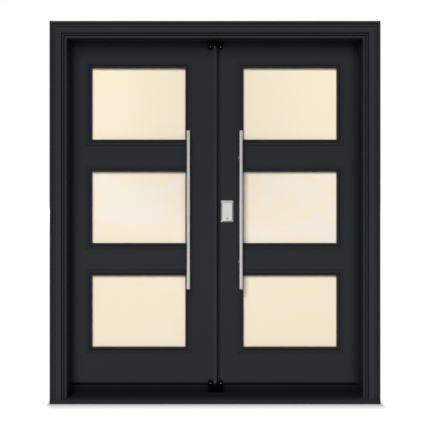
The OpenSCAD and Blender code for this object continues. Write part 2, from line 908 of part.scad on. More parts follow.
// The rib's section, with a root inside the stem
module rib_section() {
    translate([rib_x - rib_w, rib_y + rib_r]) square([rib_w, rib_proud - rib_r]);
    translate([rib_x - rib_w, rib_y + rib_r]) square([rib_w - rib_reach, rib_proud]);
    translate([rib_x - rib_w + rib_r, rib_y]) square([rib_w - 2 * rib_r, rib_proud]);
    for (x = [rib_x - rib_w + rib_r, rib_x - rib_r])
        translate([x, rib_y + rib_r]) circle(r = rib_r);
}

module astragal_seal() {
    color(black) translate([stem_x, face_y + bulb_inset, stem_z]) linear_extrude(leaf_top - stem_z) {
        square([bulb_t - bulb_w / 2, bulb_w]);
        intersection() {
            translate([bulb_t - bulb_w / 2, bulb_w / 2]) circle(r = bulb_w / 2);
            square([bulb_t, bulb_w]);
        }
    }
}

module strike_block() {
    block([stem_x - strike_t, mid_y - plate_w / 2, lock_z - strike_h / 2],
        [stem_x, mid_y + plate_w / 2, lock_z + strike_h / 2]);
}

module deadbolt_strike() {
    color(satin) difference() {
        strike_block();
        bar(deadbolt_r + strike_gap, [stem_x - stem_w, mid_y, lock_z], 2 * stem_w, "x");
    }
}

// The channel of the bottom flush bolt, with a slot for its slide button
module flush_bolt_channel() {
    slot = button_r + pass_gap;
    bar(bolt_r + run_gap, [bolt_x, mid_y, stem_z - over], bolt_len + bolt_throw, "z");
    block([bolt_x, mid_y - slot, stem_z + button_rise - bolt_throw - slot],
        [stem_x + over, mid_y + slot, stem_z + button_rise + slot]);
}

// The bottom flush bolt, drawn back into the astragal
module flush_bolt() {
    bar(bolt_r, [bolt_x, mid_y, stem_z + pass_gap], bolt_len - 2 * pass_gap, "z");
    bar(button_r, [bolt_x, mid_y, stem_z + button_rise], stem_x - bolt_x - pass_gap / 2, "x");
}

// Turns the bottom flush bolt over to the astragal's top end
module flush_bolt_at_top() {
    translate([0, 0, stem_z + leaf_top]) mirror([0, 0, 1]) children();
}

module top_flush_bolt() {
    color(satin) flush_bolt_at_top() flush_bolt();
}

module bottom_flush_bolt() {
    color(satin) flush_bolt();
}

// A case with sloping edges, seated on Y = 0 and standing out towards -Y
module sloped_case(w, low, high, t, slope, top_slope) {
    shallow = t * case_shoulder;
    intersection() {
        translate([0, 0, low - over]) linear_extrude(high - low + 2 * over)
            polygon([[-w / 2, 0], [-w / 2, -shallow], [slope - w / 2, -t], [w / 2 - slope, -t],
                [w / 2, -shallow], [w / 2, 0]]);
        along_x(-w, w)
            polygon([[0, low], [-shallow, low], [-t, low + slope], [-t, high - top_slope], [-shallow, high],
                [0, high]]);
    }
}

module lock_outer_case() {
    color(satin) difference() {
        translate([lock_x, face_y, lock_z])
            sloped_case(lock_w, -lock_below, lock_h - lock_below, lock_t, lock_bevel, lock_top_bevel);
        bar(plug_r + run_gap, [lock_x, face_y - lock_t - over, lock_z], plug_len + over, "y");
    }
}

module lock_inner_case() {
    color(charcoal) difference() {
        translate([lock_x, jamb_d, lock_z]) mirror([0, 1, 0])
            sloped_case(lock_w, -lock_below - lock_bevel, lock_h - lock_below, inner_case_t, lock_bevel,
                lock_bevel);
        bar(tail_r + run_gap, [lock_x, jamb_d - over, lock_z], inner_case_t + 2 * over, "y");
    }
}

module key_plug() {
    front = face_y - lock_t;
    color(zinc) difference() {
        bar(plug_r, [lock_x, front, lock_z], plug_len - run_gap, "y");
        block([lock_x - keyway_w / 2, front - over, lock_z - keyway_h / 2],
            [lock_x + keyway_w / 2, front + keyway_d, lock_z + keyway_h / 2]);
    }
}

// The tailpiece carries the turn from the thumb-turn through the leaf
module tailpiece() {
    start = face_y + skin_t + pass_gap;
    color(zinc) bar(tail_r, [lock_x, start, lock_z], jamb_d + inner_case_t - start, "y");
}

module thumb_turn() {
    rose_y = jamb_d + inner_case_t;
    color(satin) {
        bar(turn_r, [lock_x, rose_y, lock_z], rose_t, "y");
        intersection() {
            block([lock_x - grip_t / 2, rose_y, lock_z - turn_grip / 2],
                [lock_x + grip_t / 2, rose_y + rose_t + turn_proud, lock_z + turn_grip / 2]);
            bar(turn_grip / 2, [lock_x - grip_t, rose_y + rose_t + turn_proud - turn_grip / 2, lock_z],
                2 * grip_t, "x");
        }
    }
}

// The deadbolt runs in a tube behind a plate on the active leaf's meeting edge
module deadbolt_faceplate() {
    block([edge_x, mid_y - plate_w / 2, lock_z - faceplate_h / 2],
        [edge_x + faceplate_t, mid_y + plate_w / 2, lock_z + faceplate_h / 2]);
}

module deadbolt_tube() {
    color(satin) difference() {
        union() {
            deadbolt_faceplate();
            bar(deadbolt_tube_r, [edge_x, mid_y, lock_z], tube_end - edge_x, "x");
        }
        bar(deadbolt_bore, [edge_x - over, mid_y, lock_z], tube_end, "x");
    }
}

module deadbolt() {
    color(satin) bar(deadbolt_r, [deadbolt_rest, mid_y, lock_z], deadbolt_len, "x");
}

head_jamb();
side_jamb(true);  // left_jamb
side_jamb(false);  // right_jamb
head_brickmould();
side_brickmould(true);  // left_brickmould
side_brickmould(false);  // right_brickmould
sill();
threshold_cap();
weatherstrip();
head_seal_block();
sill_seal_block();
seal_block_screws();
frame_hinge_leaves();
hinge_pins();
outer_skin(true);  // left_outer_skin
inner_skin(true);  // left_inner_skin
stiles(true);  // left_stiles
rails(true);  // left_rails
core(true);  // left_core
outer_lite_frame(true, 2);  // left_top_lite_frame
outer_lite_frame(true, 1);  // left_middle_lite_frame
outer_lite_frame(true, 0);  // left_bottom_lite_frame
inner_lite_frames(true);  // left_inner_lite_frames
glass(true, 2);  // left_top_glass
glass(true, 1);  // left_middle_glass
glass(true, 0);  // left_bottom_glass
sweep(true);  // left_sweep
outer_pull(true);  // left_outer_pull
inner_pull(true);  // left_inner_pull
pull_studs(true);  // left_pull_studs
door_hinge_leaves(true);  // left_hinge_leaves
astragal();
astragal_seal();
deadbolt_strike();
top_flush_bolt();
bottom_flush_bolt();
outer_skin(false);  // right_outer_skin
inner_skin(false);  // right_inner_skin
stiles(false);  // right_stiles
rails(false);  // right_rails
core(false);  // right_core
outer_lite_frame(false, 2);  // right_top_lite_frame
outer_lite_frame(false, 1);  // right_middle_lite_frame
outer_lite_frame(false, 0);  // right_bottom_lite_frame
inner_lite_frames(false);  // right_inner_lite_frames
glass(false, 2);  // right_top_glass
glass(false, 1);  // right_middle_glass
glass(false, 0);  // right_bottom_glass
sweep(false);  // right_sweep
outer_pull(false);  // right_outer_pull
inner_pull(false);  // right_inner_pull
pull_studs(false);  // right_pull_studs
door_hinge_leaves(false);  // right_hinge_leaves
lock_outer_case();
lock_inner_case();
key_plug();
thumb_turn();
tailpiece();
deadbolt_tube();
deadbolt();
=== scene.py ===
import json
import math

import bpy
import numpy as np
from bpy.props import FloatProperty, FloatVectorProperty, IntProperty, PointerProperty
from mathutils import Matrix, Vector


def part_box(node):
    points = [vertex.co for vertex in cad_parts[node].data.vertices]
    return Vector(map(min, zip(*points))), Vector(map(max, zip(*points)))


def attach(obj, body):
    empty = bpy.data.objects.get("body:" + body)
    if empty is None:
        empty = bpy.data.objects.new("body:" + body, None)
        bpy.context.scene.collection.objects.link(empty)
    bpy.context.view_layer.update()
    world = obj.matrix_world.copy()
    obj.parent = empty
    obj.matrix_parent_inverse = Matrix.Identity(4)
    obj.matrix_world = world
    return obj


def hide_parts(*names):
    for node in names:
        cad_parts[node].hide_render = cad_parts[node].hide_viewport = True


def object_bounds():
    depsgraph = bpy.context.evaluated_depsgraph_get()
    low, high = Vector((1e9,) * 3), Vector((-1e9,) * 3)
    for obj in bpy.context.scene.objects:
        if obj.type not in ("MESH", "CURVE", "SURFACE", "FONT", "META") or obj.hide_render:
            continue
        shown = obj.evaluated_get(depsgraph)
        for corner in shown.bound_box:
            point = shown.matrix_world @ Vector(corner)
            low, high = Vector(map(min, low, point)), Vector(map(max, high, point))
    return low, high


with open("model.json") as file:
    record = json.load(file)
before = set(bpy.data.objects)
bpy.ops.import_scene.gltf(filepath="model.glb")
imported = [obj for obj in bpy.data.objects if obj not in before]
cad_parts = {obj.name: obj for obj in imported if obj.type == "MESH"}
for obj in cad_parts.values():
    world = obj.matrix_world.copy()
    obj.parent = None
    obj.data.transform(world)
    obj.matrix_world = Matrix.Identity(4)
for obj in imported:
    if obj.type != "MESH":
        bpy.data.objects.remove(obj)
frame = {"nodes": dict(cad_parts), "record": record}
CAD_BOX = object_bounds()

bl_info = {
    "name": "Double Entry Door Finish",
    "version": (1, 0, 0),
    "blender": (4, 5, 0),
    "location": "View3D > Sidebar > Door",
    "description": "Paint, glass, pulls, lock and fixings of a steel double entry door",
    "category": "Object",
}

SIDES = ("left", "right")
ROWS = ("top", "middle", "bottom")
OUTSIDE = np.array([0.0, -1.0, 0.0])
INSIDE = np.array([0.0, 1.0, 0.0])


# Settings

def colour(name, description, default):
    """A colour setting in linear light."""
    return FloatVectorProperty(name=name, description=description, subtype="COLOR", size=3, min=0.0, max=1.0,
                               default=default)


def length(name, description, default):
    """A length setting in metres."""
    return FloatProperty(name=name, description=description, subtype="DISTANCE", unit="LENGTH", min=0.0,
                         default=default, precision=4)


def angle(name, description, default):
    """An angle setting in radians."""
    return FloatProperty(name=name, description=description, subtype="ANGLE", default=default)


def number(name, description, default, unit="NONE"):
    """A setting with another unit, or with none."""
    return FloatProperty(name=name, description=description, unit=unit, default=default)


class DoorFinish(bpy.types.PropertyGroup):
    """Colours of the door's finishes."""

    paint: colour("Paint", "Charcoal paint on the frame", (0.0128, 0.0148, 0.0190))
    # The leaves' copy of the paint is a little darker than the frame's: painted shade for the recess they
    # stand in
    leaf: colour("Leaf paint", "The same paint on the steel leaves", (0.0120, 0.0142, 0.0182))
    # The lite frames' copy of the paint is about half as bright: painted shade for the frames' hollows
    moulded: colour("Moulded paint", "The same paint on the moulded lite frames", (0.0060, 0.0072, 0.0098))
    # The nose is paler than the deck: partly a darker deck coating, partly painted shade on the deck under
    # the leaves
    nose: colour("Sill nose", "Coating on the sill's front edge", (0.0205, 0.0221, 0.0252))
    sill: colour("Sill", "Coating on the sill's deck and the threshold cap", (0.0074, 0.0078, 0.0093))
    plastic: colour("Plastic", "Black mouldings at the astragal's ends", (0.0012, 0.0012, 0.0014))
    rubber: colour("Rubber", "Weatherstrip, bulb seal, sweeps and gaskets", (0.0045, 0.0047, 0.0052))
    # Painted shade: the edge seal is a flat dark strip that stands in for the rib's shadow on the active leaf
    strip: colour("Edge seal", "Flat seal along the active leaf's edge", (0.0100, 0.0106, 0.0118))
    steel: colour("Steel", "Satin stainless steel of the pulls", (0.475, 0.456, 0.450))
    lock: colour("Lock", "Satin nickel of the lock's case", (0.565, 0.559, 0.550))
    zinc: colour("Zinc", "Plated hinges, studs and screws", (0.27, 0.28, 0.30))
    glass_warm: colour("Warm glass", "Frosted glass where it is warmest", (0.98, 0.858, 0.645))
    # The pale glass colour is painted reflection, laid as sweeps over the warm cream
    glass_reflection: colour("Pale glass", "Frosted glass in its pale clouds", (0.945, 0.885, 0.795))
    foam: colour("Foam", "Insulating core", (0.68, 0.58, 0.27))


class DoorDetail(bpy.types.PropertyGroup):
    """Sizes of the pieces that are added to the door."""

    bar_radius: length("Bar radius", "Radius of a pull's bar", 0.011)
    bar_edge: length("Bar edge", "Rounding at the ends of a pull's bar", 0.0012)
    seam_place: length("Seam place", "From the end of a pull's bar to the seam of its cap", 0.004)
    seam_width: length("Seam width", "Width of that seam", 0.0006)
    post_radius: length("Post radius", "Radius of a pull's posts", 0.008)
    flange_radius: length("Flange radius", "Radius of the flange at a post's foot", 0.0112)
    flange_height: length("Flange height", "Thickness of that flange", 0.003)
    post_inset: length("Post inset", "From the end of a pull's bar to a post's axis", 0.15525)
    case_corner: length("Case corner", "Radius of the lock case's corners", 0.006)
    case_edge: length("Case edge", "Rounding between the lock case's slopes and its face", 0.0016)
    case_bevel: length("Case bevel", "Width of the slope along the sides and the bottom", 0.009)
    case_top_bevel: length("Case top bevel", "Width of the slope along the top", 0.013)
    case_shoulder: length("Case shoulder", "Height of the lock case's upright sides", 0.011)
    plug_radius: length("Plug radius", "Radius of the key plug", 0.0065)
    plug_gap: length("Plug gap", "Clearance around the key plug", 0.0001)
    bulb_reach: length("Bulb reach", "How far the bulb seal reaches from the astragal's stem", 0.00605)
    # Sizes of the flat dark strip on the active leaf, which paints the rib's shadow
    strip_width: length("Edge seal width", "Width of the flat seal along the active leaf's edge", 0.0150)
    strip_height: length("Edge seal height", "How far that seal stands out of the skin", 0.0008)
    strip_inset: length("Edge seal inset", "From the active leaf's edge to that seal", 0.0003)
    strip_end: length("Edge seal end", "From a seal block to the end of that seal", 0.0020)
    screw_radius: length("Screw radius", "Radius of the seal blocks' screw heads", 0.0032)
    screw_dome: length("Screw dome", "Height of those heads", 0.0016)
    screw_stand: length("Screw stand", "How far the solid screws stand out of the seal blocks", 0.002)
    rib_width: length("Rib width", "Width of the astragal's rib", 0.0235)
    rib_screw_rise: length("Rib screw rise", "From the seal blocks' screws up to the rib's screws", 0.004)
    flat_dome: length("Flat dome", "Height of the flat screw heads on hinges and plates", 0.0005)
    hinge_screw_radius: length("Hinge screw radius", "Radius of a hinge screw's head", 0.0045)
    hinge_row_near: length("Hinge row near", "From the inner skin to the nearer row of hinge screws", 0.012)
    hinge_row_far: length("Hinge row far", "From the inner skin to the further row of hinge screws", 0.024)
    hinge_height: length("Hinge height", "Height of a hinge", 0.1016)
    hinge_from_top: length("Hinge from top", "From a leaf's top to the top hinge's middle", 0.229)
    hinge_from_bottom: length("Hinge from bottom", "From a leaf's bottom to the bottom hinge's middle", 0.330)
    plate_screw_radius: length("Plate screw radius", "Radius of a plate's screw heads", 0.00405)
    plate_screw_inset: length("Plate screw inset", "From a plate's end to its screw", 0.008)
    cover_radius: length("Cover radius", "Radius of the screw covers on the inner lite frames", 0.0045)
    cover_dome: length("Cover dome", "Radius of the sphere of a screw cover's dome", 0.0075)
    cover_sunk: length("Cover sunk", "How far a screw cover goes into the lite frame", 0.0004)
    cover_row: length("Cover row", "From the glass that shows to the row of screw covers", 0.026)
    cover_side: length("Cover side", "From the glass's side to the first cover above or below it", 0.05)
    cover_end: length("Cover end", "From the glass's end to the first cover beside it", 0.06)
    flange_proud: length("Flange proud", "How far a lite frame's flange stands out of the skin", 0.005)
    lite_width: length("Lite frame width", "Width of a lite frame around the glass", 0.034)
    gasket_width: length("Gasket width", "Width of the gasket between glass and lite frame", 0.0010)
    gasket_height: length("Gasket height", "How far the gasket stands up from the glass", 0.0015)
    gasket_lap: length("Gasket lap", "How far the gasket goes into the lite frame", 0.0001)
    round_steps: IntProperty(name="Round steps", description="Points around a pull", default=64, min=12)
    head_steps: IntProperty(name="Head steps", description="Points around a small head", default=24, min=12)


class DoorStage(bpy.types.PropertyGroup):
    """Camera, light and floor."""

    camera_side: length("Camera side", "How far the camera stands left of the middle", 0.10)
    camera_distance: length("Camera distance", "From the camera to the brickmould's face", 3.350)
    camera_height: length("Camera height", "Height of the camera", 1.250)
    lens: number("Lens", "Focal length on a 36 mm sensor", 49.00, "CAMERA")
    shift_x: number("Shift X", "Sideways lens shift", 0.0406)
    shift_y: number("Shift Y", "Upward lens shift", -0.068)
    key_power: number("Key", "Soft box at the front left", 7600.0, "POWER")
    key_turn: angle("Key turn", "How far that soft box stands to the left", 0.33)
    key_rise: angle("Key rise", "How far it stands up", 0.60)
    fill_power: number("Fill", "Soft box at the front right", 700.0, "POWER")
    fill_turn: angle("Fill turn", "How far that soft box stands to the left", -0.45)
    fill_rise: angle("Fill rise", "How far it stands up", 0.30)
    back_power: number("Back", "Soft box behind the door", 7400.0, "POWER")
    back_turn: angle("Back turn", "How far that soft box stands round to the left", 2.80)
    back_rise: angle("Back rise", "How far it stands up", 0.33)
    box_size: length("Soft box size", "Side of a soft box", 12.0)
    box_distance: length("Soft box distance", "From the door's middle to a soft box", 30.0)
    ambient: number("Ambient", "Light from all round", 0.12)
    floor_reach: length("Floor reach", "From the middle of the floor to its sides", 40.0)
    floor_tone: number("Floor tone", "How much of the lamps' light the floor throws back", 0.45)
    floor_glow: number("Floor glow", "Light that the floor shows of itself", 0.98)
    shadow_reach: length("Shadow reach", "How far the contact shadow reaches in front of the sill", 0.155)
    shadow_side: length("Shadow side", "How far that shadow reaches beside the sill", 0.03)
    shadow_depth: number("Shadow depth", "How dark that shadow is", 0.86)
    shadow_fade: number("Shadow fade", "How quickly that shadow fades", 1.7)


# Surfaces

# A screw head in shares of its radius, and its recess in a share of its dome
HEAD_EYE = 0.08
HEAD_RINGS = 12
ARM_HALF_WIDTH = 0.20
ARM_SLOPE = 0.12
ARM_REACH = 0.72
ARM_FADE = 0.15
RECESS_DEPTH = 0.8


def loft(rings):
    """A closed skin over a stack of rings.

    rings[i, j] is point j of ring i. Neighbouring rings are joined by quads, the last point of a ring
    to its first, and each end is closed by a fan to the middle of its ring.
    """
    count, around, _ = rings.shape
    middles = rings[[0, -1]].mean(axis=1)
    points = np.concatenate([rings.reshape(-1, 3), middles])
    row = np.arange(count - 1)[:, None] * around
    here = np.arange(around)[None, :]
    after = (here + 1) % around
    quads = np.stack([row + here, row + after, row + after + around, row + here + around], axis=-1)
    first = count * around
    here, after = here[0], after[0]
    low = np.stack([after, here, np.full(around, first)], axis=-1)
    top = (count - 1) * around
    high = np.stack([top + here, top + after, np.full(around, first + 1)], axis=-1)
    return outward(points, quads.reshape(-1, 4), np.concatenate([low, high]))


def hoop(sections):
    """A closed tube: sections[i, j] is point j of section i, and both directions join up."""
    count, around, _ = sections.shape
    row = np.arange(count)[:, None]
    here = np.arange(around)[None, :]
    after, later = (here + 1) % around, (row + 1) % count
    quads = np.stack([row * around + here, row * around + after,
                      later * around + after, later * around + here], axis=-1)
    return outward(sections.reshape(-1, 3), quads.reshape(-1, 4), np.zeros((0, 3), int))


def outward(points, quads, triangles):
    """Turns the faces so that the volume they enclose is positive."""
    faces = np.concatenate([quads[:, [0, 1, 2]], quads[:, [0, 2, 3]], triangles])
    a, b, c = (points[faces[:, k]] for k in range(3))
    if np.einsum("ij,ij->i", a, np.cross(b, c)).sum() < 0:
        return points, quads[:, ::-1], triangles[:, ::-1]
    return points, quads, triangles


def join(skins):
    """Puts several skins into one."""
    points, quads, triangles = zip(*skins)
    starts = np.cumsum([0] + [len(some) for some in points[:-1]])
    return (np.concatenate(points), np.concatenate([some + start for some, start in zip(quads, starts)]),
            np.concatenate([some + start for some, start in zip(triangles, starts)]))


def repeat(skin, origins):
    """Copies a skin to every origin."""
    points, quads, triangles = skin
    origins = np.asarray(origins, float)
    steps = np.arange(len(origins))[:, None, None] * len(points)
    return ((points[None] + origins[:, None]).reshape(-1, 3), (quads[None] + steps).reshape(-1, 4),
            (triangles[None] + steps).reshape(-1, 3))


def basis(axis):
    """Three directions at right angles, the last along an axis."""
    axis = np.asarray(axis, float)
    across = np.cross(axis, [0.0, 0.0, 1.0])
    if not across.any():
        across = np.array([1.0, 0.0, 0.0])
    across /= np.linalg.norm(across)
    return np.array([across, np.cross(axis, across), axis])


def circle(steps):
    """Cosines and sines of angles spaced evenly around a circle."""
    turn = np.linspace(0.0, 2.0 * np.pi, steps, endpoint=False)
    return np.cos(turn), np.sin(turn)


def turned(radii, heights, axis, steps):
    """A turned skin: a profile of radii and heights, carried round an axis through the origin."""
    cosine, sine = circle(steps)
    radii, heights = np.asarray(radii, float)[:, None], np.asarray(heights, float)[:, None]
    local = np.stack([radii * cosine, radii * sine, heights + 0.0 * cosine], axis=-1)
    return loft(local @ basis(axis))


def upright(x, y, bottom, top):
    """A closed outline of X and Y, carried straight up from one height to another."""
    z = np.array([bottom, top])[:, None]
    return loft(np.stack([x + 0.0 * z, y + 0.0 * z, z + 0.0 * x], axis=-1))


def arc(centre, radius, start, end, steps=6):
    """Radii and heights along an arc, from one angle in degrees to another."""
    turn = np.radians(np.linspace(start, end, steps))
    return centre[0] + radius * np.cos(turn), centre[1] + radius * np.sin(turn)


def profile(*stretches):
    """Joins stretches of radii and heights into one profile."""
    return tuple(np.concatenate([np.atleast_1d(stretch[k]) for stretch in stretches]) for k in (0, 1))


def screw_head(radius, dome, axis, steps=32):
    """A domed head with a pressed cross recess.

    The height at a place is a parabolic dome, less a slot depth that fades in with a smooth step from
    the edge of either arm of the cross and fades out towards the rim. The last ring is the sunk foot.
    """
    share = np.concatenate([np.linspace(HEAD_EYE, 1.0, HEAD_RINGS), [1.0]])[:, None]
    cosine, sine = circle(steps)
    arm = share * np.minimum(np.abs(cosine), np.abs(sine))
    slot = np.clip((ARM_HALF_WIDTH - arm) / ARM_SLOPE, 0.0, 1.0)
    slot = slot * np.clip((ARM_REACH - share) / ARM_FADE, 0.0, 1.0)
    height = dome * (1.0 - share ** 2) - RECESS_DEPTH * dome * slot * slot * (3.0 - 2.0 * slot)
    height[-1] = -dome
    reach = radius * share
    return loft(np.stack([reach * cosine, reach * sine, height], axis=-1) @ basis(axis))


def rectangle_hoop(low, high, offsets, depths, facing):
    """A profile carried round a rectangle in a plane of X and Z, with mitred corners.

    Each profile point lies on the rectangle grown by its offset, at its depth along the facing axis.
    """
    offsets, depths = np.asarray(offsets, float), np.asarray(depths, float)
    corner = np.array([[low[0], low[2], -1, -1], [high[0], low[2], 1, -1], [high[0], high[2], 1, 1],
                       [low[0], high[2], -1, 1]], float)
    x = corner[:, None, 0] + corner[:, None, 2] * offsets
    z = corner[:, None, 1] + corner[:, None, 3] * offsets
    y = low[1] + facing * depths + 0.0 * x
    return hoop(np.stack([x, y, z], axis=-1))


def rounded_outline(half_width, low, high, corner, steps=8, fill=40):
    """Outlines of upright rectangles with round corners, one for each entry of the arrays given.

    Each corner is a quarter circle, and the straight side after it is filled with evenly spaced points.
    """
    half_width, low, high, corner = (np.asarray(v, float)[:, None] for v in (half_width, low, high, corner))
    quarter = np.linspace(0.0, 0.5 * np.pi, steps)
    along = np.linspace(0.0, 1.0, fill + 2)[1:-1]
    arcs = []
    for k, (right, up) in enumerate(((1, 1), (-1, 1), (-1, -1), (1, -1))):
        bend = quarter + 0.5 * np.pi * k
        middle_z = high - corner if up > 0 else low + corner
        arcs.append(np.stack([right * (half_width - corner) + corner * np.cos(bend),
                              middle_z + corner * np.sin(bend)]))
    sides = [end[..., -1:] + (start[..., :1] - end[..., -1:]) * along
             for end, start in zip(arcs, arcs[1:] + arcs[:1])]
    return np.concatenate([stretch for pair in zip(arcs, sides) for stretch in pair], axis=-1)


# Pieces

# Filled by the finishes operator
MATERIALS = {}


def make_piece(name, skin, body, slot, replaced=(), finish=None, sharp=40.0):
    """Makes a mesh object of a skin, which rides on a body, with a finish of its own or its slot's.

    Edges that bend by more than the sharp angle, in degrees, stay crisp.
    """
    points, quads, triangles = skin
    mesh = bpy.data.meshes.new(name)
    mesh.from_pydata(points.tolist(), [], quads.tolist() + triangles.tolist())
    mesh.polygons.foreach_set("use_smooth", np.ones(len(mesh.polygons), bool))
    mesh.set_sharp_from_angle(angle=math.radians(sharp))
    mesh.materials.append(MATERIALS[finish or slot])
    if mesh.validate():
        raise RuntimeError(f"{name} has faulty faces")
    piece = bpy.data.objects.new(name, mesh)
    bpy.context.scene.collection.objects.link(piece)
    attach(piece, body)
    if replaced:
        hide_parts(*replaced)


def corners(node):
    """The low and high corners of a node, as arrays."""
    low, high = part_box(node)
    return np.array(low), np.array(high)


# Materials

NOISE_MIDDLE = 0.5

# Strength of a film's fine specks beside its clouds
SPECK_SHARE = 0.6

# How brushed lines and blotches vary a metal's colour and roughness
LINE_TONE = 0.16
BLOTCH_TONE = 0.06
LINE_ROUGHNESS = 0.25

# How finely the metals' lines follow each other along X, Y and Z
STEEL_LINES = (900.0, 900.0, 14.0)
NICKEL_LINES = (1100.0, 300.0, 24.0)
ZINC_GRAIN = (260.0, 260.0, 260.0)

# Depth behind the sill's nose over which its coating darkens, in metres: partly the deck's darker coating and
# partly painted shade under the leaves
SILL_TONE_AND_SHADE_FADE = 0.060

# Frosted glass: its pale sweeps, which are painted reflections, where they are strongest, how much they
# cover, and how painted shade dims it
REFLECTION_STRETCH = (1.0, 1.0, 1.9)
REFLECTION_LOW = 0.40
REFLECTION_HIGH = 0.62
ROW_FADE = 1.6
REFLECTION_COVER = 0.20
REFLECTION_COVER_IN_ROW = 0.44
LEAST_REFLECTION = 0.03
LEAST_REFLECTION_IN_ROW = 0.15
GLASS_TONE = 1.02
GLASS_PAINTED_SHADE = 0.10
GLASS_ROUGHNESS = 0.30
GLASS_UNEVENNESS = 0.12
GLASS_SPECULAR = 0.35
GLASS_GRAIN = 0.00002

# Foam: where its cells give way to their walls, the cells' tone, and the walls' height in metres
CELL_LOW = 0.1
CELL_HIGH = 0.7
CELL_TONE = 0.8
CELL_HEIGHT = 0.0004
FOAM_ROUGHNESS = 0.9


class Shade:
    """A material or node group that is being wired up."""

    def __init__(self, tree):
        self.tree = tree

    def node(self, kind, inputs=None, **settings):
        """Adds a node, sets it up, and joins or fills its inputs."""
        made = self.tree.nodes.new(kind)
        for key, value in settings.items():
            setattr(made, key, value)
        for key, value in (inputs or {}).items():
            self.feed(made.inputs[key], value)
        return made

    def feed(self, socket, value):
        """Joins a socket to another one, or sets its value."""
        if isinstance(value, bpy.types.NodeSocket):
            self.tree.links.new(value, socket)
        else:
            socket.default_value = value

    def math(self, operation, a, b=0.0, c=0.0, clamp=False):
        """The result of an operation on up to three values."""
        made = self.node("ShaderNodeMath", {0: a, 1: b, 2: c}, operation=operation, use_clamp=clamp)
        return made.outputs[0]

    def mix(self, factor, a, b, blend="MIX"):
        """Blends two colours, each a socket or three numbers."""
        a, b = (c if isinstance(c, bpy.types.NodeSocket) else (*c, 1.0) for c in (a, b))
        made = self.node("ShaderNodeMix", data_type="RGBA", blend_type=blend)
        colours = [socket for socket in made.inputs if socket.type == "RGBA"]
        for socket, value in ((made.inputs[0], factor), (colours[0], a), (colours[1], b)):
            self.feed(socket, value)
        return next(socket for socket in made.outputs if socket.type == "RGBA")

    def toned(self, tint, tone):
        """A colour times a value."""
        grey = self.node("ShaderNodeCombineColor", {"Red": tone, "Green": tone, "Blue": tone})
        return self.mix(1.0, tint, grey.outputs["Color"], "MULTIPLY")

    def ramp(self, value, low, high):
        """A value as a share of the way from low to high, eased at both ends."""
        return self.node("ShaderNodeMapRange", {"Value": value, "From Min": low, "From Max": high},
                         interpolation_type="SMOOTHSTEP").outputs["Result"]

    def place(self, scale=(1.0, 1.0, 1.0)):
        """Object coordinates, stretched along the axes."""
        where = self.node("ShaderNodeTexCoord").outputs["Object"]
        return self.node("ShaderNodeMapping", {"Vector": where, "Scale": scale}).outputs["Vector"]

    def axes(self):
        """Object coordinates, one socket for each axis."""
        return self.node("ShaderNodeSeparateXYZ", {0: self.place()}).outputs

    def noise(self, vector, scale, detail=2.0, rough=0.5, distortion=0.0):
        """A soft noise that lies around its middle value."""
        return self.node("ShaderNodeTexNoise", {"Vector": vector, "Scale": scale, "Detail": detail,
                                                "Roughness": rough, "Distortion": distortion}).outputs["Fac"]

    def vary(self, noise, amount, base):
        """A base value that a noise raises and lowers, by its distance from its middle times an amount."""
        return self.math("MULTIPLY_ADD", self.math("SUBTRACT", noise, NOISE_MIDDLE), amount, base)


def group(name, **inputs):
    """A new shader node group with named inputs, which puts out a colour, a roughness and a height."""
    tree = bpy.data.node_groups.new(name, "ShaderNodeTree")
    outputs = {"Colour": "Color", "Roughness": "Float", "Height": "Float"}
    for direction, sockets in (("INPUT", inputs), ("OUTPUT", outputs)):
        for socket_name, kind in sockets.items():
            tree.interface.new_socket(name=socket_name, in_out=direction, socket_type=f"NodeSocket{kind}")
    shade = Shade(tree)
    given = shade.node("NodeGroupInput").outputs
    result = shade.node("NodeGroupOutput").inputs
    return shade, given, result


def film_group():
    """Sprayed film: faint mottling of the colour, uneven roughness and an orange-peel height."""
    shade, given, result = group("sprayed film", Colour="Color", Mottling="Float", Roughness="Float",
                                 Unevenness="Float")
    where = shade.place()
    cloud = shade.noise(where, scale=5.0, detail=3.0)
    speck = shade.noise(where, scale=420.0)
    patch = shade.noise(where, scale=28.0, detail=4.0, rough=0.6)
    tone = shade.vary(cloud, given["Mottling"], 1.0)
    tone = shade.vary(speck, shade.math("MULTIPLY", given["Mottling"], SPECK_SHARE), tone)
    shade.feed(result["Colour"], shade.toned(given["Colour"], tone))
    shade.feed(result["Roughness"], shade.vary(patch, given["Unevenness"], given["Roughness"]))
    shade.feed(result["Height"], shade.noise(where, scale=650.0, detail=1.0))
    return shade.tree


def brushed_group():
    """Brushed metal: fine streaks along one axis that vary the colour, the roughness and the height."""
    shade, given, result = group("brushed lines", Colour="Color", Stretch="Vector", Roughness="Float")
    where = shade.node("ShaderNodeTexCoord").outputs["Object"]
    drawn = shade.node("ShaderNodeVectorMath", {0: where, 1: given["Stretch"]}, operation="MULTIPLY")
    streak = shade.noise(drawn.outputs[0], scale=1.0, detail=4.0, rough=0.65)
    blotch = shade.noise(where, scale=9.0)
    tone = shade.vary(blotch, BLOTCH_TONE, shade.vary(streak, LINE_TONE, 1.0))
    shade.feed(result["Colour"], shade.toned(given["Colour"], tone))
    shade.feed(result["Roughness"], shade.vary(streak, LINE_ROUGHNESS, given["Roughness"]))
    shade.feed(result["Height"], streak)
    return shade.tree


def material(name):
    """A new material: its shade, its Principled shader and its bump node."""
    made = bpy.data.materials.new(name)
    made.use_nodes = True
    made.node_tree.nodes.clear()
    shade = Shade(made.node_tree)
    shader = shade.node("ShaderNodeBsdfPrincipled")
    output = shade.node("ShaderNodeOutputMaterial")
    bump = shade.node("ShaderNodeBump")
    shade.feed(output.inputs["Surface"], shader.outputs["BSDF"])
    shade.feed(shader.inputs["Normal"], bump.outputs["Normal"])
    return made, shade, shader, bump


